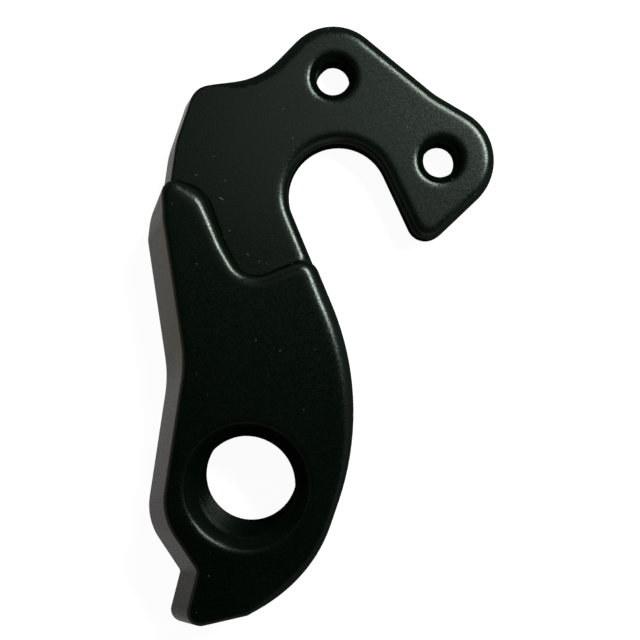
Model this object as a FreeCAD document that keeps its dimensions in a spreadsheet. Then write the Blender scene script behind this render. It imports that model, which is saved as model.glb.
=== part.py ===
import FreeCAD, Part

import math
import os
from collections import namedtuple

import Sketcher

# Replaceable derailleur hanger, one piece of machined aluminium.
# It lies on its flat back: the origin is the derailleur bolt's axis on that face, +Z points out of the
# front, +Y up the hanger towards the wheel axle, and +X towards the open side of the axle slot.

# Driving sizes in millimetres and degrees: name, value, meaning.
SIZES = [
    ("plate_thickness", 4.0, "mounting plate, back to front"),
    ("arm_thickness", 8.0, "derailleur arm, back to front"),
    ("plate_round", 1.1, "rounded front edge of the plate"),
    ("arm_round", 1.6, "rounded front edge of the arm, at the shoulder and the horn"),
    ("bottom_round", 0.35, "rounded front edge of the arm, at its bottom"),
    ("flank_round", 0.3, "rounded front edge of the rear flank"),
    ("round_growth", 0.6, "how fast the rounding grows with the distance from the rear flank"),
    ("valley_round", 1.0, "rounded front edge of the arm, at the lowest bend of the step"),
    ("valley_growth", 0.12, "how fast the rounding grows with the distance from that bend"),
    ("mouth_round", 0.7, "rounded lip around the holes' bevels"),
    ("back_bevel", 0.3, "bevel along the back edges"),
    ("corner_extra", 0.1, "radius of the tight corners beyond the rounding of the front edge"),
    ("lean_x", 2.8, "how far the rear flank spreads over the arm's thickness"),
    ("lean_y", 1.85, "how far the rear flank drops over the arm's thickness"),

    ("axle_x", 8.8, "wheel axle from the derailleur bolt"),
    ("axle_y", 28.1, "wheel axle from the derailleur bolt"),
    ("slot_radius", 5.0, "half the width of the axle slot"),
    ("slot_near_heading", 112.5, "slot wall beside the arm"),
    ("slot_far_heading", 295.0, "slot wall beside the tip"),

    ("bolt_hole_diameter", 9.15, "tapped hole M10x1, across its crests"),
    ("bolt_hole_mouth", 12.1, "bevelled mouth of that hole"),
    ("fixing_hole_diameter", 3.3, "tapped holes M4, across their crests"),
    ("fixing_hole_mouth", 4.75, "bevelled mouth of those holes"),
    ("upper_hole_dx", -0.55, "upper fixing hole from the axle"),
    ("upper_hole_dy", 11.45, "upper fixing hole from the axle"),
    ("outer_hole_dx", 10.0, "outer fixing hole from the axle"),
    ("outer_hole_dy", 3.35, "outer fixing hole from the axle"),

    ("upper_lobe_radius", 5.15, "plate around the upper fixing hole"),
    ("outer_lobe_radius", 5.35, "plate around the outer fixing hole"),
    ("edge_low_heading", 149.6, "edge between the lobes, lower stretch"),
    ("edge_high_heading", 140.5, "edge between the lobes, upper stretch"),
    ("edge_radius", 8.0, "hollow between the lobes"),
    ("crest_high_heading", 225.7, "edge that leaves the upper lobe"),
    ("crest_low_heading", 190.9, "edge that reaches the upper corner"),
    ("crest_radius", 7.0, "hollow between those edges"),
    ("crest_dy", 7.7, "rear end of the lower one, from the axle"),
    ("tip_dy", -2.55, "tip beside the slot's mouth, from the axle"),
    ("tip_radius", 1.9, "rounded tip"),
    ("flank_dx", -8.1, "bend of the plate's rear flank, from the axle"),
    ("flank_dy", 3.2, "bend of the plate's rear flank, from the axle"),
    ("flank_radius", 8.0, "bend of the plate's rear flank"),
    ("flank_low_heading", 81.7, "plate's rear flank below its bend"),
    ("flank_high_heading", 71.0, "plate's rear flank above its bend"),
    ("plate_corner", 2.0, "corner between the crest and the rear flank"),
    ("root_rear_dy", 2.0, "rear end of the plate's root inside the arm, from the axle"),
    ("root_low_x", 0.5, "plate's root inside the arm, at its lowest"),
    ("root_low_y", 17.2, "plate's root inside the arm, at its lowest"),
    ("root_radius", 1.6, "rounding of the plate's root"),
    ("root_slot_y", 20.55, "plate's root beside the slot"),

    ("bottom_heading", 25.0, "lower edge of the arm"),
    ("bottom_drop", -17.65, "rear end of the lower edge, from the derailleur bolt"),
    ("belly_radius", 14.0, "lower front corner of the arm"),
    ("side_low_heading", 70.9, "front edge above that corner"),
    ("side_reach", 10.15, "furthest point of the arm's front edge"),
    ("side_y", 6.99, "height of that point above the derailleur bolt"),
    ("side_radius", 26.3, "arm's front edge"),
    ("shoulder_y", 19.7, "shoulder below the slot"),
    ("valley_x", 0.95, "lowest bend of the step between arm and plate"),
    ("valley_y", 22.45, "lowest bend of the step between arm and plate"),
    ("valley_radius", 2.48, "lowest bend of the step between arm and plate"),
    ("sweep_x", 6.1, "long bend of the step between arm and plate"),
    ("sweep_y", 26.65, "long bend of the step between arm and plate"),
    ("sweep_radius", 9.0, "long bend of the step between arm and plate"),
    ("horn_x", -6.05, "upper end of the arm"),
    ("horn_y", 26.25, "upper end of the arm"),
    ("horn_radius", 2.54, "upper end of the arm"),
    ("horn_corner_x", -6.65, "upper rear corner of the arm"),
    ("horn_corner_y", 27.8, "upper rear corner of the arm"),
    ("horn_corner_radius", 1.2, "upper rear corner of the arm"),
    ("horn_fall_heading", 226.0, "edge that falls from that corner to the rear"),
    ("rear_hump_x", -6.9, "rounded rear end of that edge"),
    ("rear_hump_radius", 3.4, "rounded rear end of that edge"),
    ("rear_fall_heading", 255.0, "edge below that rounding"),
    ("rear_heading", 91.7, "rear flank beside the horn"),
    ("bulge_high_x", -3.3, "upper bulge of the rear flank"),
    ("bulge_high_y", 25.8, "upper bulge of the rear flank"),
    ("bulge_high_radius", 4.5, "upper bulge of the rear flank"),
    ("waist_reach", -5.92, "narrowest place of the rear flank"),
    ("waist_y", 11.85, "narrowest place of the rear flank"),
    ("waist_radius", 12.5, "hollow of the rear flank"),
    ("bulge_low_x", -1.7, "lower bulge of the rear flank"),
    ("bulge_low_y", -1.3, "lower bulge of the rear flank"),
    ("bulge_low_radius", 6.0, "lower bulge of the rear flank"),
    ("notch_x", -5.05, "notch above the hooked stop"),
    ("notch_y", -8.0, "notch above the hooked stop"),
    ("notch_radius", 0.5, "notch above the hooked stop"),
    ("hook_heading", 75.7, "rear edge of the hooked stop"),
    ("hook_y", -11.85, "rounded end of the hooked stop"),
    ("hook_radius", 1.25, "rounded end of the hooked stop"),
    ("hook_bottom_heading", 193.0, "lower edge of the hooked stop"),
    ("hook_foot_x", 2.0, "front end of that lower edge, beyond the belly"),
    ("arm_corner", 0.7, "corners of the horn and of the hooked stop, at the rear"),

    ("stock_x", -14.0, "rear end of the stock before the flank is cut"),
    ("stock_round", 1.0, "corners of the stock and of the cut"),
]
SIZE = {name: value for name, value, meaning in SIZES}

CONVEX = 1
CONCAVE = -1

# A wall that looks further upwards than this belongs to the leaning rear flank.
UPRIGHT = 0.1

# One arc of an outline. x, y and radius are lists of size names to add up, with a minus sign on those to
# subtract; x or y is None where a heading sets it. heading is the direction of the straight edge that
# leaves the arc on the anticlockwise way round, or None where that edge is simply the common tangent.
Arc = namedtuple("Arc", "x y radius bend heading")

PLATE_OUTLINE = {
    "outer_lobe": Arc(["axle_x", "outer_hole_dx"], ["axle_y", "outer_hole_dy"], ["outer_lobe_radius"],
                      CONVEX, "edge_low_heading"),
    "edge_hollow": Arc(None, None, ["edge_radius"], CONCAVE, "edge_high_heading"),
    "upper_lobe": Arc(["axle_x", "upper_hole_dx"], ["axle_y", "upper_hole_dy"], ["upper_lobe_radius"],
                      CONVEX, "crest_high_heading"),
    "crest_hollow": Arc(None, None, ["crest_radius"], CONCAVE, "crest_low_heading"),
    "stock_high": Arc(["stock_x"], ["axle_y", "crest_dy"], ["stock_round"], CONVEX, None),
    "stock_low": Arc(["stock_x"], ["axle_y", "root_rear_dy"], ["stock_round"], CONVEX, None),
    "root_low": Arc(["root_low_x"], ["root_low_y"], ["root_radius"], CONVEX, None),
    "root_slot": Arc(None, ["root_slot_y"], ["plate_round", "corner_extra"], CONVEX, "slot_near_heading"),
    "slot": Arc(["axle_x"], ["axle_y"], ["slot_radius"], CONCAVE, "slot_far_heading"),
    "tip": Arc(None, ["axle_y", "tip_dy"], ["tip_radius"], CONVEX, None),
}

# The cuts for the rear flank reach beyond the stock's rear end and beyond the edges that they meet.
CUT_REAR = ["stock_x", "-lean_x"]
CUT_TOP = ["axle_y", "upper_hole_dy", "upper_lobe_radius"]
PLATE_CUT_FOOT = ["root_slot_y"]
ARM_CUT_FOOT = ["bottom_drop", "-lean_y"]

PLATE_CUT = {
    "cut_low": Arc(CUT_REAR, PLATE_CUT_FOOT, ["stock_round"], CONVEX, None),
    "flank_foot": Arc(None, PLATE_CUT_FOOT, ["stock_round"], CONVEX, "flank_low_heading"),
    "flank": Arc(["axle_x", "flank_dx"], ["axle_y", "flank_dy"], ["flank_radius"], CONCAVE,
                 "flank_high_heading"),
    "flank_head": Arc(None, CUT_TOP, ["stock_round"], CONVEX, None),
    "cut_high": Arc(CUT_REAR, CUT_TOP, ["stock_round"], CONVEX, None),
}
ARM_OUTLINE = {
    "belly": Arc(None, None, ["belly_radius"], CONVEX, "side_low_heading"),
    "side": Arc(["side_reach", "-side_radius"], ["side_y"], ["side_radius"], CONVEX, "slot_near_heading"),
    "shoulder": Arc(None, ["shoulder_y"], ["arm_round", "corner_extra"], CONVEX, None),
    "valley": Arc(["valley_x"], ["valley_y"], ["valley_radius"], CONCAVE, None),
    "sweep": Arc(["sweep_x"], ["sweep_y"], ["sweep_radius"], CONCAVE, None),
    "horn": Arc(["horn_x"], ["horn_y"], ["horn_radius"], CONVEX, None),
    "horn_corner": Arc(["horn_corner_x"], ["horn_corner_y"], ["horn_corner_radius"], CONVEX,
                       "horn_fall_heading"),
    "rear_hump": Arc(["rear_hump_x"], None, ["rear_hump_radius"], CONVEX, "rear_fall_heading"),
    "stock_high": Arc(["stock_x"], None, ["stock_round"], CONVEX, None),
    "stock_low": Arc(["stock_x"], ["bottom_drop"], ["stock_round"], CONVEX, "bottom_heading"),
}
ARM_CUT = {
    "cut_low": Arc(CUT_REAR, ARM_CUT_FOOT, ["stock_round"], CONVEX, None),
    "hook_foot": Arc(["hook_foot_x"], None, ["stock_round"], CONVEX, "hook_bottom_heading"),
    "hook_end": Arc(None, ["hook_y"], ["hook_radius"], CONCAVE, "hook_heading"),
    "notch": Arc(["notch_x"], ["notch_y"], ["notch_radius"], CONVEX, None),
    "bulge_low": Arc(["bulge_low_x"], ["bulge_low_y"], ["bulge_low_radius"], CONCAVE, None),
    "waist": Arc(["waist_reach", "-waist_radius"], ["waist_y"], ["waist_radius"], CONVEX, None),
    "bulge_high": Arc(["bulge_high_x"], ["bulge_high_y"], ["bulge_high_radius"], CONCAVE, "rear_heading"),
    "rear_head": Arc(None, CUT_TOP, ["stock_round"], CONVEX, None),
    "cut_high": Arc(CUT_REAR, CUT_TOP, ["stock_round"], CONVEX, None),
}


def total(names):
    """The sum of the named sizes."""
    return sum(-SIZE[name[1:]] if name.startswith("-") else SIZE[name] for name in names)


def formula(names):
    """The same sum as an expression on the sheet's cells."""
    signed = ["- Sizes." + name[1:] if name.startswith("-") else "+ Sizes." + name for name in names]
    return " ".join(signed).removeprefix("+ ")


def left_of(heading):
    """The unit vector to the left of a heading in degrees."""
    angle = math.radians(heading)
    return FreeCAD.Vector(-math.sin(angle), math.cos(angle), 0)


def place_arcs(arcs):
    """Each arc's centre and signed radius; a free coordinate comes from the edges whose headings are given."""
    radii = [arc.bend * total(arc.radius) for arc in arcs]
    centres = [None] * len(arcs)
    while None in centres:
        for i, arc in enumerate(arcs):
            rules = []
            if arc.x:
                rules.append((FreeCAD.Vector(1, 0, 0), total(arc.x)))
            if arc.y:
                rules.append((FreeCAD.Vector(0, 1, 0), total(arc.y)))
            for neighbour, heading in ((i - 1, arcs[i - 1].heading), ((i + 1) % len(arcs), arc.heading)):
                if heading and centres[neighbour] and len(rules) < 2:
                    normal = left_of(SIZE[heading])
                    rules.append((normal, centres[neighbour].dot(normal) + radii[i] - radii[neighbour]))
            if centres[i] is None and len(rules) == 2:
                (a, a_value), (b, b_value) = rules
                scale = a.x * b.y - a.y * b.x
                centres[i] = FreeCAD.Vector(
                    (a_value * b.y - b_value * a.y) / scale, (a.x * b_value - b.x * a_value) / scale, 0)
    return centres, radii


def tangent_headings(centres, radii):
    """The heading in degrees of the straight edge that leaves each arc for the next one."""
    headings = []
    for i, centre in enumerate(centres):
        following = (i + 1) % len(centres)
        way = centres[following] - centre
        swing = radii[following] - radii[i]
        along = math.sqrt(way.Length ** 2 - swing ** 2)
        headings.append(math.degrees(math.atan2(way.y, way.x) - math.atan2(swing, along)))
    return headings


def draw_outline(sketch, outline):
    """Arcs joined by tangent straight edges, with every size bound to the sheet."""
    arcs = list(outline.values())
    count = len(arcs)
    centres, radii = place_arcs(arcs)
    headings = tangent_headings(centres, radii)
    upright = FreeCAD.Vector(0, 0, 1)
    for i, centre in enumerate(centres):
        arriving, leaving = headings[i - 1], headings[i]
        start, end = (arriving - 90, leaving - 90) if radii[i] > 0 else (leaving + 90, arriving + 90)
        end = start + (end - start) % 360
        circle = Part.Circle(centre, upright, abs(radii[i]))
        sketch.addGeometry(Part.ArcOfCircle(circle, math.radians(start), math.radians(end)), False)
    for i, centre in enumerate(centres):
        following = (i + 1) % count
        inward = left_of(headings[i])
        edge = Part.LineSegment(centre - inward * radii[i], centres[following] - inward * radii[following])
        sketch.addGeometry(edge, False)
    for i, arc in enumerate(arcs):
        following = (i + 1) % count
        leaving_end = 2 if arc.bend == CONVEX else 1
        arriving_end = 1 if arcs[following].bend == CONVEX else 2
        sketch.addConstraint(Sketcher.Constraint("Tangent", i, leaving_end, count + i, 1))
        sketch.addConstraint(Sketcher.Constraint("Tangent", count + i, 2, following, arriving_end))
    for i, (name, arc) in enumerate(outline.items()):
        bind(sketch, Sketcher.Constraint("Radius", i, abs(radii[i])), name + "_r", formula(arc.radius))
        if arc.x:
            distance = Sketcher.Constraint("DistanceX", -1, 1, i, 3, centres[i].x)
            bind(sketch, distance, name + "_cx", formula(arc.x))
        if arc.y:
            distance = Sketcher.Constraint("DistanceY", -1, 1, i, 3, centres[i].y)
            bind(sketch, distance, name + "_cy", formula(arc.y))
        if arc.heading:
            angle = Sketcher.Constraint("Angle", count + i, math.radians(SIZE[arc.heading]))
            bind(sketch, angle, name + "_heading", "Sizes." + arc.heading + " * 1 deg")


def bind(sketch, constraint, name, expression):
    """Add a named constraint whose value follows the sheet."""
    index = sketch.addConstraint(constraint)
    sketch.renameConstraint(index, name)
    sketch.setExpression("Constraints." + name, expression)


def new_sketch(body, name, height):
    """A sketch above the body's own XY plane, raised by a size of the sheet."""
    sketch = body.newObject("Sketcher::SketchObject", name)
    plane = next(feature for feature in body.Origin.OriginFeatures if feature.Role == "XY_Plane")
    sketch.AttachmentSupport = [(plane, "")]
    sketch.MapMode = "FlatFace"
    sketch.setExpression("AttachmentOffset.Base.z", "Sizes." + height)
    return sketch


def flat_face(feature, height):
    """The name of the feature's largest flat face at a height."""
    level = [
        (face.Area, "Face%d" % number)
        for number, face in enumerate(feature.Shape.Faces, 1)
        if face.BoundBox.ZLength < 1e-4 and abs(face.BoundBox.ZMin - height) < 1e-4
    ]
    return max(level)[1]


def tilts(shape, edge):
    """How far the faces beside an edge look upwards, at the middle of the edge: 0 upright, 1 level."""
    middle = edge.valueAt((edge.FirstParameter + edge.LastParameter) / 2)
    faces = shape.ancestorsOfType(edge, Part.Face)
    return sorted(face.normalAt(*face.Surface.parameter(middle)).z for face in faces)


def rear_corners(shape):
    """The names of the slanted edges where the leaning flank meets an upright wall."""
    names = []
    for number, edge in enumerate(shape.Edges, 1):
        lower, higher = tilts(shape, edge)
        if edge.BoundBox.ZLength > 1e-3 and abs(lower) < UPRIGHT and higher > UPRIGHT:
            names.append("Edge%d" % number)
    return names


def front_rounding(shape, face, low_round, high_round):
    """The numbers of the front face's edges, each with its rounding at both ends.

    Along the outline the rounding is small at the bottom, beside the rear flank and in the step's lowest
    bend. The radii follow the outline's way round, which a fillet takes from its first edge: so edges that
    run that way come first.
    """
    low_y = SIZE["bottom_drop"]
    high_y = SIZE["shoulder_y"]
    valley = FreeCAD.Vector(SIZE["valley_x"], SIZE["valley_y"], face.CenterOfMass.z)
    outline = sorted(face.OuterWire.OrderedEdges, key=lambda edge: edge.Orientation == "Reversed")
    flank = Part.makeCompound([edge for edge in outline if tilts(shape, edge)[0] > UPRIGHT])
    rounds = []
    for edge in outline:
        sizes = []
        for end in (edge.firstVertex(True), edge.lastVertex(True)):
            share = min(1, max(0, (end.Y - low_y) / (high_y - low_y)))
            by_height = low_round + share * (high_round - low_round)
            by_flank = SIZE["flank_round"] + SIZE["round_growth"] * end.distToShape(flank)[0]
            from_valley = max(0, end.Point.distanceToPoint(valley) - SIZE["valley_radius"])
            by_valley = SIZE["valley_round"] + SIZE["valley_growth"] * from_valley
            sizes.append(min(by_height, by_flank, by_valley))
        rounds.append((edge, *sizes))
    mouths = [edge for wire in face.Wires if not wire.isSame(face.OuterWire) for edge in wire.Edges]
    rounds += [(edge, SIZE["mouth_round"], SIZE["mouth_round"]) for edge in mouths]
    numbers = {edge.hashCode(): number for number, edge in enumerate(shape.Edges, 1)}
    return [(numbers[edge.hashCode()], start, end) for edge, start, end in rounds]


def slab(body, name, outline, cut, height):
    """A slab with upright walls, whose rear flank is then cut so that it leans out towards the back."""
    front = new_sketch(body, name + "Outline", height)
    draw_outline(front, outline)
    pad = body.newObject("PartDesign::Pad", name + "Stock")
    pad.Profile = front
    pad.Reversed = True
    pad.setExpression("Length", "Sizes." + height)
    doc.recompute()

    rear = new_sketch(body, name + "Flank", height)
    draw_outline(rear, cut)
    pocket = body.newObject("PartDesign::Pocket", name + "FlankCut")
    pocket.Profile = rear
    pocket.Type = "ThroughAll"
    pocket.UseCustomVector = True
    pocket.setExpression("Direction.x", "-Sizes.lean_x")
    pocket.setExpression("Direction.y", "-Sizes.lean_y")
    pocket.setExpression("Direction.z", "-Sizes.arm_thickness")
    doc.recompute()
    if pocket.Shape.Volume > pad.Shape.Volume - 1:
        raise RuntimeError("the flank's cut missed the %s" % name)
    return pocket


def soften(body, name, base, corner_size):
    """Round the rear corners and bevel the back edge."""
    corners = body.newObject("PartDesign::Fillet", name + "Corners")
    corners.Base = (base, rear_corners(base.Shape))
    corners.setExpression("Radius", "Sizes." + corner_size)
    doc.recompute()
    bevel = body.newObject("PartDesign::Chamfer", name + "Bevel")
    bevel.Base = (corners, [flat_face(corners, 0)])
    bevel.setExpression("Size", "Sizes.back_bevel")
    doc.recompute()


def round_front(body, height, low_round, high_round):
    """Round the finished body's front edges."""
    rounding = doc.addObject("Part::Fillet", body.Name + "Rounding")
    rounding.Base = body
    face = body.Shape.getElement(flat_face(body, SIZE[height]))
    rounding.Edges = front_rounding(body.Shape, face, SIZE[low_round], SIZE[high_round])
    doc.recompute()
    return rounding


def tapped_holes(body, name, height, places, diameter, mouth):
    """Through holes with bevelled mouths in the front face; places are lists of size names for x and y."""
    sketch = new_sketch(body, name + "Centres", height)
    upright = FreeCAD.Vector(0, 0, 1)
    for i, (x, y) in enumerate(places):
        centre = FreeCAD.Vector(total(x), total(y), 0)
        sketch.addGeometry(Part.Circle(centre, upright, SIZE[diameter] / 2), False)
        bind(sketch, Sketcher.Constraint("Diameter", i, SIZE[diameter]), "hole_%d" % i, "Sizes." + diameter)
        if x and y:
            bind(sketch, Sketcher.Constraint("DistanceX", -1, 1, i, 3, centre.x), "hole_%d_cx" % i, formula(x))
            bind(sketch, Sketcher.Constraint("DistanceY", -1, 1, i, 3, centre.y), "hole_%d_cy" % i, formula(y))
        else:
            sketch.addConstraint(Sketcher.Constraint("Coincident", i, 3, -1, 1))
    doc.recompute()
    hole = body.newObject("PartDesign::Hole", name)
    hole.Profile = sketch
    hole.DepthType = "ThroughAll"
    hole.HoleCutType = "Countersink"
    hole.HoleCutCustomValues = True
    hole.HoleCutCountersinkAngle = 90
    hole.setExpression("Diameter", "Sizes." + diameter)
    hole.setExpression("HoleCutDiameter", "Sizes." + mouth)
    doc.recompute()


doc = FreeCAD.newDocument("DerailleurHanger")
sheet = doc.addObject("Spreadsheet::Sheet", "Sizes")
for row, (name, value, meaning) in enumerate(SIZES, 1):
    sheet.set("A%d" % row, name)
    sheet.set("B%d" % row, str(value))
    sheet.set("C%d" % row, meaning)
    sheet.setAlias("B%d" % row, name)
doc.recompute()

# Mounting plate: bolted to the frame at two tapped holes, open to the wheel axle.
plate = doc.addObject("PartDesign::Body", "Plate")
plate_slab = slab(plate, "Plate", PLATE_OUTLINE, PLATE_CUT, "plate_thickness")
soften(plate, "Plate", plate_slab, "plate_corner")
fixing_places = [(PLATE_OUTLINE[lobe].x, PLATE_OUTLINE[lobe].y) for lobe in ("upper_lobe", "outer_lobe")]
tapped_holes(plate, "FixingHoles", "plate_thickness", fixing_places, "fixing_hole_diameter", "fixing_hole_mouth")
rounded_plate = round_front(plate, "plate_thickness", "plate_round", "plate_round")

# Arm: carries the derailleur's bolt, and its hook stops the derailleur's adjusting screw.
arm = doc.addObject("PartDesign::Body", "Arm")
arm_slab = slab(arm, "Arm", ARM_OUTLINE, ARM_CUT, "arm_thickness")
soften(arm, "Arm", arm_slab, "arm_corner")
tapped_holes(arm, "BoltHole", "arm_thickness", [([], [])], "bolt_hole_diameter", "bolt_hole_mouth")
rounded_arm = round_front(arm, "arm_thickness", "bottom_round", "arm_round")

# The finished hanger is one solid.
hanger = doc.addObject("Part::Fuse", "Hanger")
hanger.Label = "hanger"
hanger.Base = rounded_plate
hanger.Tool = rounded_arm
hanger.Refine = True
doc.recompute()

for item in doc.Objects:
    if "Invalid" in item.State or "Error" in item.State:
        raise RuntimeError("%s failed: %s" % (item.Name, item.State))
shape = hanger.Shape
if shape.isNull() or not shape.isValid() or len(shape.Solids) != 1:
    raise RuntimeError("the hanger is not one valid solid")

os.makedirs("parts", exist_ok=True)
shape.exportStep("parts/%s.step" % hanger.Label)
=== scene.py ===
import math
from contextlib import contextmanager

import bpy
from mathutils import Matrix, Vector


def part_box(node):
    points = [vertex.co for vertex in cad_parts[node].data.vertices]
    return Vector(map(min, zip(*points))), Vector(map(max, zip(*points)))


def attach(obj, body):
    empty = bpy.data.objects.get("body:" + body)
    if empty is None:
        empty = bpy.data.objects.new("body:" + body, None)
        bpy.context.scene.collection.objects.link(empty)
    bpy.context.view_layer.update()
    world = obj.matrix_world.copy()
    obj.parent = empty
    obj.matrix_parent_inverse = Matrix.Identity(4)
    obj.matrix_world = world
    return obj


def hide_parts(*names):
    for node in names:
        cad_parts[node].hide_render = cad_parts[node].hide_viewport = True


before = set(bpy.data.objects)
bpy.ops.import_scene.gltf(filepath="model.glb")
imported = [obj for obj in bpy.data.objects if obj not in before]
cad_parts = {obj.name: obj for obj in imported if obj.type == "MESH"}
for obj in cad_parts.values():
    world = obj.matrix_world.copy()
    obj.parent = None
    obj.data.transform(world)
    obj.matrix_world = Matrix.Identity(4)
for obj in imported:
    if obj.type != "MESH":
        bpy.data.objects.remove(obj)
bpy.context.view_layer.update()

# Sizes are in metres, in the hanger's own frame: the derailleur bolt's axis is at the origin, the back
# lies on the floor, and +Z points out of the front. A pair of values that fades something in runs from
# where there is none of it to where there is all of it.
MM = 0.001

# Camera: straight above the hanger, as high over the back as a hand-held close-up.
CAMERA_PLACE = (6.95 * MM, 15.7 * MM, 105.0 * MM)
CAMERA_LENS = 58.05
CAMERA_SENSOR = 36.0
CAMERA_CLIP = (1 * MM, 10.0)

# Tapped holes: centre, crest radius, root radius, pitch and the radius of the bevelled mouth.
BOLT_THREAD = {
    "centre": (0, 0), "crest": 4.575 * MM, "root": 5.05 * MM, "pitch": 1.0 * MM, "mouth": 6.05 * MM}
FIXING_THREAD = {"crest": 1.65 * MM, "root": 2.02 * MM, "pitch": 0.7 * MM, "mouth": 2.375 * MM}
THREADS = (
    BOLT_THREAD,
    {"centre": (8.25 * MM, 39.55 * MM), **FIXING_THREAD},
    {"centre": (18.8 * MM, 31.45 * MM), **FIXING_THREAD},
)

# The ridge that cuts a thread's groove, in pitches: its width at the root and at its inner end, how far it
# reaches inside the crests, and how far it runs on beyond the hanger. Then its steps to a turn.
GROOVE_FLAT = 0.25
GROOVE_MOUTH = 0.86
GROOVE_INSET = 0.15
GROOVE_OVERRUN = 2
GROOVE_STEPS = 56

# Points closer than this are one point.
MERGE_DISTANCE = 0.0005 * MM

# A face that looks up or down at least this steeply is flat, and flat faces that bend less than this, in
# radians, are one face. Edges that bend further than the smooth angle look sharp, and large faces decide
# the shading at the edges that they share with small ones.
FLAT_LOOK = 0.99999
FLAT_BEND = 0.001
SMOOTH_ANGLE = math.radians(32)
LARGE_FACE_WEIGHT = 100

# Black finish: its refractive index, the tint of its reflections, its mottled tones, the tone of the painted
# warm reflection of the tabletop on the rear flank, and the tone of worn spots.
FINISH_IOR = 1.52
FINISH_TINT = (0.84, 1.0, 0.88, 1)
MOTTLE_SCALE = 90
MOTTLE_DETAIL = 4
TONES = ((0.30, (0.0006, 0.0022, 0.0008)), (0.75, (0.0014, 0.0042, 0.0018)))
FLANK_REFLECTION_TONE = (0.040, 0.032, 0.019)
WEAR_TONE = (0.12, 0.13, 0.12)

# Blasted grain: the range of its noise, the roughness at both ends of that range, and its relief.
GRAIN_SCALE = 5200
GRAIN_DETAIL = 2
GRAIN_RANGE = (0.3, 0.7)
GRAIN_ROUGHNESS = (0.19, 0.34)
GRAIN_STRENGTH = 0.3
GRAIN_HEIGHT = 0.02 * MM

# Milled rear flank: it looks to the rear and a little upwards, lies behind every other wall that looks to
# the rear, and keeps only a share of its painted warm reflection and of its sheen towards the hook.
FLANK_LOOK_X = (-0.4, -0.7)
FLANK_LOOK_Z = (0.1, 0.3)
FLANK_X = (-2 * MM, -3 * MM)
FLANK_Y = (-12.3 * MM, 19.7 * MM)
FLANK_SHARE = (0.35, 1)

# Sheen: its strength by how far a surface turns from the eye, on flat faces and on the flank, and the
# shares of it that the holes and the arm's flat face keep.
SHEEN_BY_TURN = ((0.12, 0.5), (0.22, 0.12), (0.35, 0.02), (0.60, 0.003), (0.80, 0.0))
SHEEN_FLAT_LOOK = (0.97, 0.995)
SHEEN_FLAT = 0.5
SHEEN_FLANK = 0.008
SHEEN_HOLE_SHARE = 0.12
SHEEN_ARM_SHARE = 0.6
ARM_FACE = (7.92 * MM, 7.98 * MM)

# Softened edges: how wide, how finely worked out, and where they begin above and beside the step's foot.
EDGE_SOFTNESS = 0.9 * MM
EDGE_SAMPLES = 8
ABOVE_FOOT = (4.05 * MM, 4.3 * MM)
BESIDE_FOOT = (1.5 * MM, 2.5 * MM)

# Small pale marks on the front: centre x and y, length and width, the turn of the length in degrees, and
# how plainly each shows.
MARKS = (
    (-2.70 * MM, 27.58 * MM, 0.66 * MM, 0.13 * MM, -32, 0.9),
    (-1.89 * MM, 24.44 * MM, 0.20 * MM, 0.15 * MM, 0, 0.8),
    (-0.11 * MM, 22.13 * MM, 0.36 * MM, 0.12 * MM, -35, 0.7),
    (1.76 * MM, 21.18 * MM, 0.24 * MM, 0.12 * MM, -20, 0.5),
    (-5.15 * MM, 29.89 * MM, 0.45 * MM, 0.12 * MM, 30, 0.45),
    (-3.46 * MM, 31.71 * MM, 0.20 * MM, 0.14 * MM, 0, 0.5),
)

# The share of a mark's or a hole's reach within which its mask is full.
MARK_CORE = 0.55
HOLE_CORE = 0.97

# Specks: cells to a metre, a speck's rim in cells, how plainly it shows, and the share of cells without one.
SPECK_CELLS = 900
SPECK_RIM = (0.085, 0.05)
SPECK_STRENGTH = 0.45
SPECK_FREE_SHARE = 0.72

# Tabletop: it lies a hair below the back, so that the two never share a plane.
FLOOR_SIZE = 3.0
FLOOR_DROP = 0.02 * MM
FLOOR_TONE = (0.25, 0.25, 0.25, 1)
FLOOR_ROUGHNESS = 0.9
FLOOR_SHEEN = 0.1
FLOOR_GLOW_TONE = (1, 1, 1, 1)
FLOOR_GLOW = 0.95

# Soft boxes: name, place, size and power in watts.
SOFT_BOXES = (
    ("right_key", (0.086, 0.058, 0.100), 0.02, 0.060),
    ("middle_key", (0.070, 0.080, 0.100), 0.02, 0.065),
    ("upper_key", (0.052, 0.101, 0.100), 0.02, 0.045),
    ("top", (0.025, 0.097, 0.250), 0.12, 0.0185),
)

# The room's glow by height: pale at the horizon and dark overhead.
ROOM_GLOW = ((0.00, 0.90), (0.22, 0.55), (0.45, 0.15), (0.65, 0.03), (0.88, 0.008))


def deselect_all():
    bpy.ops.object.select_all(action="DESELECT")


def make_active(piece):
    deselect_all()
    piece.select_set(True)
    bpy.context.view_layer.objects.active = piece


def apply_modifier(piece, modifier):
    make_active(piece)
    bpy.ops.object.modifier_apply(modifier=modifier.name)


@contextmanager
def edit_mode():
    """The active piece's mesh open for editing."""
    bpy.ops.object.mode_set(mode="EDIT")
    yield
    bpy.ops.object.mode_set(mode="OBJECT")


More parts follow.
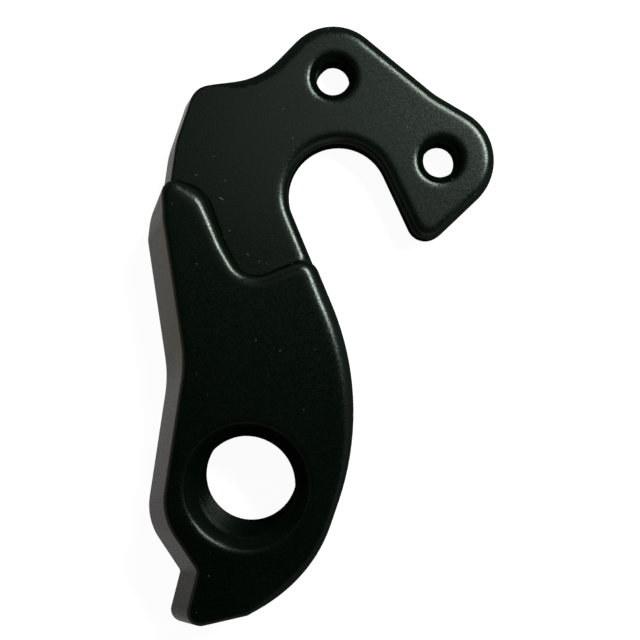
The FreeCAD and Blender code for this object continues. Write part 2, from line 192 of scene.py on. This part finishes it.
def groove_profile(thread, low):
    """The open profile of a thread's groove, upright beside the axis, narrower towards the thread's root."""
    inner = thread["crest"] - GROOVE_INSET * thread["pitch"]
    depth = thread["root"] - inner
    middle = inner + depth / 2
    deselect_all()
    bpy.ops.mesh.primitive_plane_add(size=1, rotation=(math.pi / 2, 0, 0), location=(middle, 0, low))
    profile = bpy.context.object
    profile.scale = (depth, GROOVE_MOUTH * thread["pitch"], 1)
    bpy.ops.object.transform_apply(location=True, rotation=True, scale=True)

    for vertex in profile.data.vertices:
        vertex.select = vertex.co.x > middle
    for edge in profile.data.edges:
        edge.select = all(profile.data.vertices[i].select for i in edge.vertices)
    for face in profile.data.polygons:
        face.select = False
    with edit_mode():
        bpy.ops.transform.resize(value=(1, 1, GROOVE_FLAT / GROOVE_MOUTH))
        bpy.ops.mesh.select_all(action="SELECT")
        bpy.ops.mesh.delete(type="ONLY_FACE")
    return profile


def thread_groove(thread, low, high):
    """A helical ridge that cuts one thread's groove, from below one face to above the other."""
    groove = groove_profile(thread, low)
    screw = groove.modifiers.new("Helix", "SCREW")
    screw.axis = "Z"
    screw.angle = math.tau
    screw.screw_offset = thread["pitch"]
    screw.iterations = math.ceil((high - low) / thread["pitch"])
    screw.steps = GROOVE_STEPS
    screw.render_steps = GROOVE_STEPS
    apply_modifier(groove, screw)

    # The ridge is closed at its two four-sided ends.
    with edit_mode():
        bpy.ops.mesh.select_all(action="SELECT")
        bpy.ops.mesh.remove_doubles(threshold=MERGE_DISTANCE)
        bpy.ops.mesh.fill_holes(sides=4)
        bpy.ops.mesh.select_all(action="SELECT")
        bpy.ops.mesh.normals_make_consistent(inside=False)
    groove.location = (*thread["centre"], 0)
    bpy.ops.object.transform_apply(location=True)
    return groove


def cut_threads(body):
    low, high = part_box("hanger")
    for thread in THREADS:
        overrun = GROOVE_OVERRUN * thread["pitch"]
        groove = thread_groove(thread, low.z - overrun, high.z + overrun)
        cut = body.modifiers.new("Thread", "BOOLEAN")
        cut.operation = "DIFFERENCE"
        cut.solver = "EXACT"
        cut.object = groove
        apply_modifier(body, cut)
        bpy.data.objects.remove(groove)


def join_flat_faces(body):
    """Join the triangles of each flat face, so that they shade as one."""
    make_active(body)
    with edit_mode():
        bpy.ops.mesh.select_mode(type="FACE")
        bpy.ops.mesh.select_all(action="DESELECT")
    for face in body.data.polygons:
        face.select = abs(face.normal.z) > FLAT_LOOK
    with edit_mode():
        bpy.ops.mesh.dissolve_limited(angle_limit=FLAT_BEND)


def shade_smooth(body):
    """Smooth shading that leaves the flat faces flat."""
    bpy.ops.object.shade_smooth_by_angle(angle=SMOOTH_ANGLE)
    weighted = body.modifiers.new("FlatFaces", "WEIGHTED_NORMAL")
    weighted.mode = "FACE_AREA"
    weighted.weight = LARGE_FACE_WEIGHT
    weighted.keep_sharp = True
    apply_modifier(body, weighted)


def hanger_body():
    """The machined hanger with its threads cut."""
    body = bpy.data.objects.new("hanger_body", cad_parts["hanger"].data.copy())
    bpy.context.scene.collection.objects.link(body)
    make_active(body)
    with edit_mode():
        bpy.ops.mesh.select_all(action="SELECT")
        bpy.ops.mesh.customdata_custom_splitnormals_clear()
        bpy.ops.mesh.remove_doubles(threshold=MERGE_DISTANCE)
    cut_threads(body)
    join_flat_faces(body)
    shade_smooth(body)
    return body


def link_nodes(tree, *pairs):
    for source, target in pairs:
        tree.links.new(source, target)


def math_node(tree, operation, *values):
    """A Math node's output; each value is a number or another node's output."""
    node = tree.nodes.new("ShaderNodeMath")
    node.operation = operation
    for socket, value in zip(node.inputs, values):
        if isinstance(value, bpy.types.NodeSocket):
            tree.links.new(value, socket)
        else:
            socket.default_value = value
    return node.outputs["Value"]


def joined(tree, operation, masks):
    """Several masks made one, two at a time; one of them may be a plain number."""
    whole, *others = masks
    for mask in others:
        whole = math_node(tree, operation, whole, mask)
    return whole


def map_range(tree, value, source, target=(0, 1)):
    """The value taken from one range to another and kept within it."""
    node = tree.nodes.new("ShaderNodeMapRange")
    node.inputs["From Min"].default_value = source[0]
    node.inputs["From Max"].default_value = source[1]
    node.inputs["To Min"].default_value = target[0]
    node.inputs["To Max"].default_value = target[1]
    tree.links.new(value, node.inputs["Value"])
    return node.outputs["Result"]


def noise(tree, place, scale, detail):
    node = tree.nodes.new("ShaderNodeTexNoise")
    node.inputs["Scale"].default_value = scale
    node.inputs["Detail"].default_value = detail
    tree.links.new(place, node.inputs["Vector"])
    return node.outputs["Fac"]


def split(tree, vector):
    """The X, Y and Z outputs of a vector."""
    node = tree.nodes.new("ShaderNodeSeparateXYZ")
    tree.links.new(vector, node.inputs["Vector"])
    return node.outputs


def ramp(tree, value, stops):
    """Colours at the stops' positions, blended between them."""
    node = tree.nodes.new("ShaderNodeValToRGB")
    elements = node.color_ramp.elements
    # Added stops start in the middle, and the loop below puts each in its place.
    while len(elements) < len(stops):
        elements.new(0.5)
    for element, (position, colour) in zip(elements, stops):
        element.position = position
        element.color = (*colour, 1)
    tree.links.new(value, node.inputs["Fac"])
    return node.outputs["Color"]


def grey_ramp(tree, value, stops):
    """Grey levels at the stops' positions, blended between them."""
    return ramp(tree, value, [(position, (level, level, level)) for position, level in stops])


def blend(tree, share, first, second):
    """One colour turning into another; each is a colour or another node's output."""
    node = tree.nodes.new("ShaderNodeMix")
    node.data_type = "RGBA"
    tree.links.new(share, node.inputs["Factor"])
    for name, value in (("A", first), ("B", second)):
        socket = next(each for each in node.inputs if each.name == name and each.type == "RGBA")
        if isinstance(value, bpy.types.NodeSocket):
            tree.links.new(value, socket)
        else:
            socket.default_value = (*value, 1)
    return next(each for each in node.outputs if each.type == "RGBA")


def oval_mask(tree, place, centre, size, turn, core, strength):
    """How much of an upright oval column is at a place: full within its core, fading to none at its rim."""
    oval = tree.nodes.new("ShaderNodeMapping")
    oval.vector_type = "TEXTURE"
    oval.inputs["Location"].default_value = (*centre, 0)
    oval.inputs["Rotation"].default_value = (0, 0, math.radians(turn))
    oval.inputs["Scale"].default_value = (size[0] / 2, size[1] / 2, 1)
    tree.links.new(place, oval.inputs["Vector"])
    reach = tree.nodes.new("ShaderNodeVectorMath")
    reach.operation = "LENGTH"
    tree.links.new(oval.outputs["Vector"], reach.inputs[0])
    return map_range(tree, reach.outputs["Value"], (1, core), (0, strength))


def marks_mask(tree, place):
    """The small pale marks."""
    return joined(tree, "MAXIMUM", [
        oval_mask(tree, place, (x, y), (length, width), turn, MARK_CORE, strength)
        for x, y, length, width, turn, strength in MARKS])


def holes_mask(tree, place, reach):
    """The inside of the tapped holes, out to one of their radii."""
    return joined(tree, "MAXIMUM", [
        oval_mask(tree, place, thread["centre"], (2 * thread[reach], 2 * thread[reach]), 0, HOLE_CORE, 1)
        for thread in THREADS])


def specks_mask(tree, place):
    """Sparse pale specks, each in one cell out of several."""
    cells = tree.nodes.new("ShaderNodeTexVoronoi")
    cells.inputs["Scale"].default_value = SPECK_CELLS
    tree.links.new(place, cells.inputs["Vector"])
    dot = map_range(tree, cells.outputs["Distance"], SPECK_RIM, (0, SPECK_STRENGTH))
    chance = tree.nodes.new("ShaderNodeSeparateColor")
    tree.links.new(cells.outputs["Color"], chance.inputs["Color"])
    chosen = math_node(tree, "GREATER_THAN", chance.outputs["Red"], SPECK_FREE_SHARE)
    return math_node(tree, "MULTIPLY", dot, chosen)


def flank_mask(tree, look, along):
    """The rear flank, which leans out towards the back, fading towards the hook."""
    return joined(tree, "MULTIPLY", [
        map_range(tree, along["Y"], FLANK_Y, FLANK_SHARE),
        map_range(tree, look["X"], FLANK_LOOK_X),
        map_range(tree, look["Z"], FLANK_LOOK_Z),
        map_range(tree, along["X"], FLANK_X),
    ])


def sheen(tree, place, look, along, flank):
    """The strength of the sheen: full on what faces the eye and on the plate's flat faces, less on the
    arm's face, some on the milled rear flank, little on other grazing walls, and least inside the holes."""
    facing = tree.nodes.new("ShaderNodeLayerWeight")
    outside = joined(tree, "MAXIMUM", [
        grey_ramp(tree, facing.outputs["Facing"], SHEEN_BY_TURN),
        math_node(tree, "MULTIPLY", flank, SHEEN_FLANK),
        map_range(tree, math_node(tree, "ABSOLUTE", look["Z"]), SHEEN_FLAT_LOOK, (0, SHEEN_FLAT)),
    ])
    hole_share = map_range(tree, holes_mask(tree, place, "mouth"), (0, 1), (1, SHEEN_HOLE_SHARE))
    arm_share = map_range(tree, along["Z"], ARM_FACE, (1, SHEEN_ARM_SHARE))
    return joined(tree, "MULTIPLY", [outside, hole_share, arm_share])


def soft_edges(tree, place, along):
    """Edges softened by the blasting, but not in the threads or along the foot of the step."""
    clear_of_foot = math_node(
        tree, "MAXIMUM",
        map_range(tree, along["Z"], ABOVE_FOOT),
        map_range(tree, along["X"], BESIDE_FOOT))
    unthreaded = math_node(tree, "SUBTRACT", 1, holes_mask(tree, place, "root"))
    edge = tree.nodes.new("ShaderNodeBevel")
    edge.samples = EDGE_SAMPLES
    softness = joined(tree, "MULTIPLY", [clear_of_foot, unthreaded, EDGE_SOFTNESS])
    tree.links.new(softness, edge.inputs["Radius"])
    return edge.outputs["Normal"]


def black_anodised():
    """Satin black anodising over a fine blasted grain, with a painted warm reflection of the tabletop on the
    rear flank, and a few small pale marks and specks."""
    finish = bpy.data.materials.new("black_anodised")
    finish.use_nodes = True
    tree = finish.node_tree
    shader = tree.nodes["Principled BSDF"]
    shader.inputs["IOR"].default_value = FINISH_IOR
    shader.inputs["Metallic"].default_value = 0.0
    shader.inputs["Specular Tint"].default_value = FINISH_TINT
    place = tree.nodes.new("ShaderNodeTexCoord").outputs["Object"]
    along = split(tree, place)
    look = split(tree, tree.nodes.new("ShaderNodeNewGeometry").outputs["Normal"])
    flank = flank_mask(tree, look, along)

    tone = ramp(tree, noise(tree, place, MOTTLE_SCALE, MOTTLE_DETAIL), TONES)
    # Painted reflection: a warm brown tone on the rear flank stands in for the tabletop's reflection and
    # fades towards the hook.
    tone = blend(tree, flank, tone, FLANK_REFLECTION_TONE)
    wear = math_node(tree, "MAXIMUM", specks_mask(tree, place), marks_mask(tree, place))
    tone = blend(tree, wear, tone, WEAR_TONE)

    grain = noise(tree, place, GRAIN_SCALE, GRAIN_DETAIL)
    bump = tree.nodes.new("ShaderNodeBump")
    bump.inputs["Strength"].default_value = GRAIN_STRENGTH
    bump.inputs["Distance"].default_value = GRAIN_HEIGHT

    link_nodes(
        tree,
        (soft_edges(tree, place, along), bump.inputs["Normal"]),
        (tone, shader.inputs["Base Color"]),
        (sheen(tree, place, look, along, flank), shader.inputs["Specular IOR Level"]),
        (map_range(tree, grain, GRAIN_RANGE, GRAIN_ROUGHNESS), shader.inputs["Roughness"]),
        (grain, bump.inputs["Height"]),
        (bump.outputs["Normal"], shader.inputs["Normal"]),
    )
    return finish


def pale_floor():
    """A wide pale tabletop under the hanger."""
    deselect_all()
    bpy.ops.mesh.primitive_plane_add(size=FLOOR_SIZE, location=(0, 0, -FLOOR_DROP))
    floor = bpy.context.object
    floor.name = "tabletop"
    paint = bpy.data.materials.new("pale_tabletop")
    paint.use_nodes = True
    shader = paint.node_tree.nodes["Principled BSDF"]
    shader.inputs["Base Color"].default_value = FLOOR_TONE
    shader.inputs["Roughness"].default_value = FLOOR_ROUGHNESS
    shader.inputs["Specular IOR Level"].default_value = FLOOR_SHEEN
    shader.inputs["Emission Color"].default_value = FLOOR_GLOW_TONE
    shader.inputs["Emission Strength"].default_value = FLOOR_GLOW
    floor.data.materials.append(paint)


def close_up_camera():
    lens = bpy.data.cameras.new("close_up")
    lens.lens = CAMERA_LENS
    lens.sensor_width = CAMERA_SENSOR
    lens.clip_start, lens.clip_end = CAMERA_CLIP
    camera = bpy.data.objects.new("close_up", lens)
    bpy.context.scene.collection.objects.link(camera)
    camera.location = CAMERA_PLACE
    bpy.context.scene.camera = camera


def soft_box(name, place, size, power):
    """A square soft box that faces the derailleur bolt's hole."""
    lamp = bpy.data.lights.new(name, "AREA")
    lamp.size = size
    lamp.energy = power
    box = bpy.data.objects.new(name, lamp)
    bpy.context.scene.collection.objects.link(box)
    box.location = place
    aim = bpy.data.objects["hanger_body"].matrix_world.translation
    box.rotation_euler = (aim - box.location).to_track_quat("-Z", "Y").to_euler()


def studio_room():
    """The room around the tabletop, which glows by height."""
    room = bpy.data.worlds.new("studio_room")
    room.use_nodes = True
    tree = room.node_tree
    upwards = split(tree, tree.nodes.new("ShaderNodeTexCoord").outputs["Generated"])["Z"]
    tree.links.new(grey_ramp(tree, upwards, ROOM_GLOW), tree.nodes["Background"].inputs["Color"])
    bpy.context.scene.world = room


def studio():
    """The close-up camera, the room and the soft light, which comes from the upper right."""
    close_up_camera()
    for name, place, size, power in SOFT_BOXES:
        soft_box(name, place, size, power)
    bpy.context.scene.view_settings.view_transform = "Standard"
    studio_room()


body = hanger_body()
body.data.materials.clear()
body.data.materials.append(black_anodised())
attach(body, "root")
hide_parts("hanger")
pale_floor()
studio()
